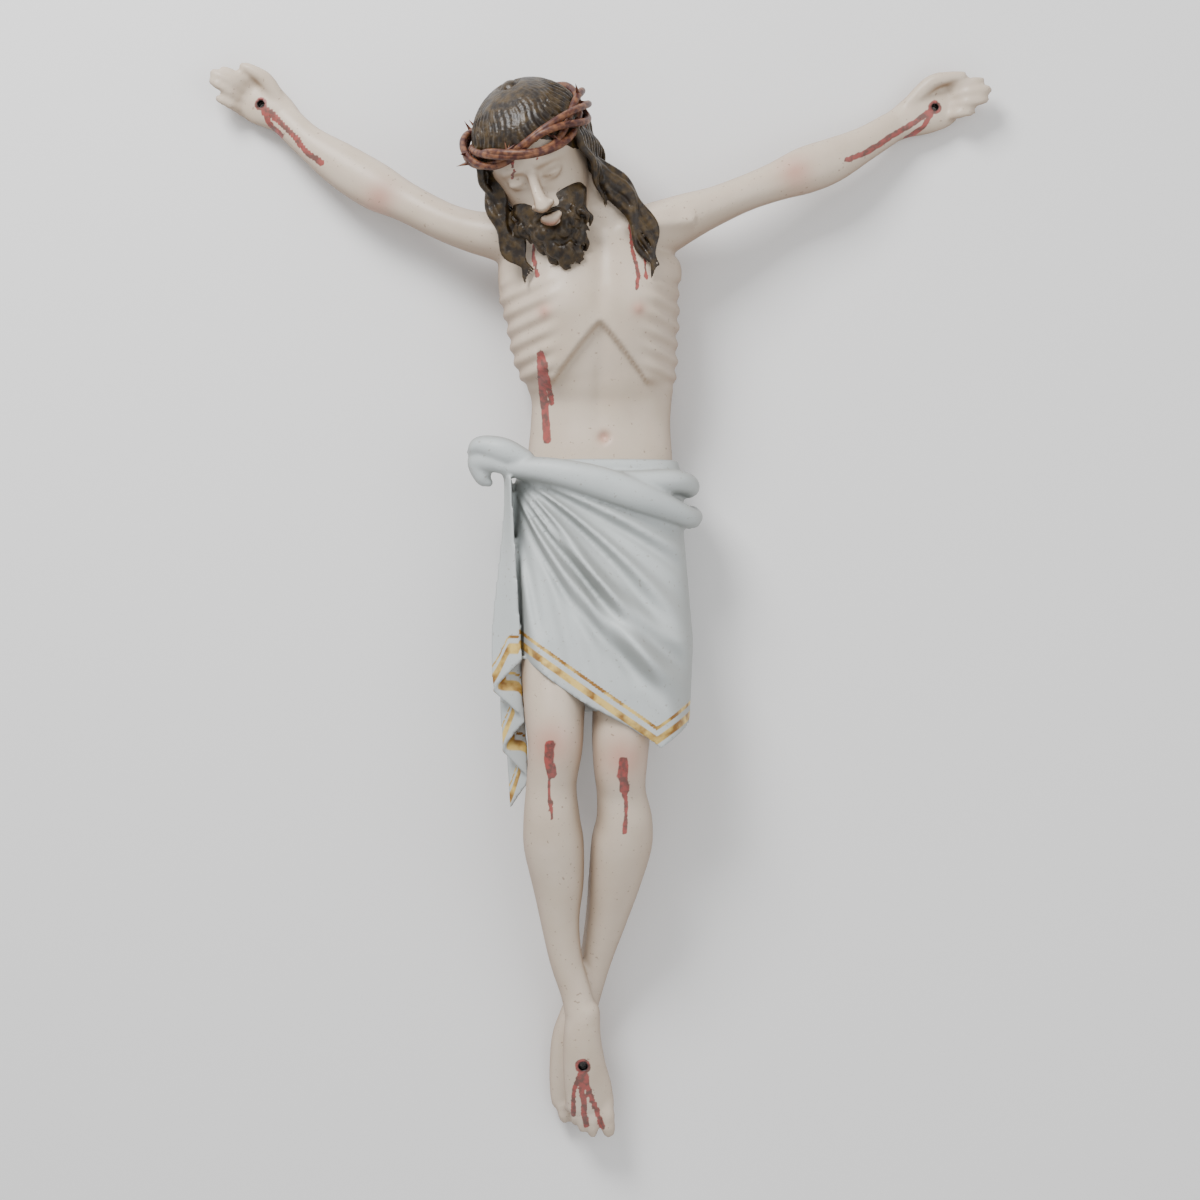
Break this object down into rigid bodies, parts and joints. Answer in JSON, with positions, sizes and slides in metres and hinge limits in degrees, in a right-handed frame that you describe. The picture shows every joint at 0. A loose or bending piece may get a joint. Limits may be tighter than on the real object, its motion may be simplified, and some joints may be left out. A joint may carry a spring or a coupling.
{
  "type": "crucifix corpus",
  "caption": "Carved and painted wooden figure from a crucifix, arms spread and feet crossed, with nail holes and a thorn wreath; lies on its flat back.",
  "frame": {"origin": "middle of the bounding box, on the flat back plane that would seat against a cross", "axes": "+Y towards the head, +Z out of the chest, +X towards the figure's left hand"},
  "size_m": [0.7943, 1.089, 0.1927],
  "materials": {
    "painted_flesh": "satin",
    "painted_cloth": "satin",
    "painted_hair": "satin",
    "thorn_wood": "satin"
  },
  "bodies": {
    "root": {"corpus": "painted_flesh", "crown_of_thorns": "thorn_wood"}
  },
  "joints": []
}
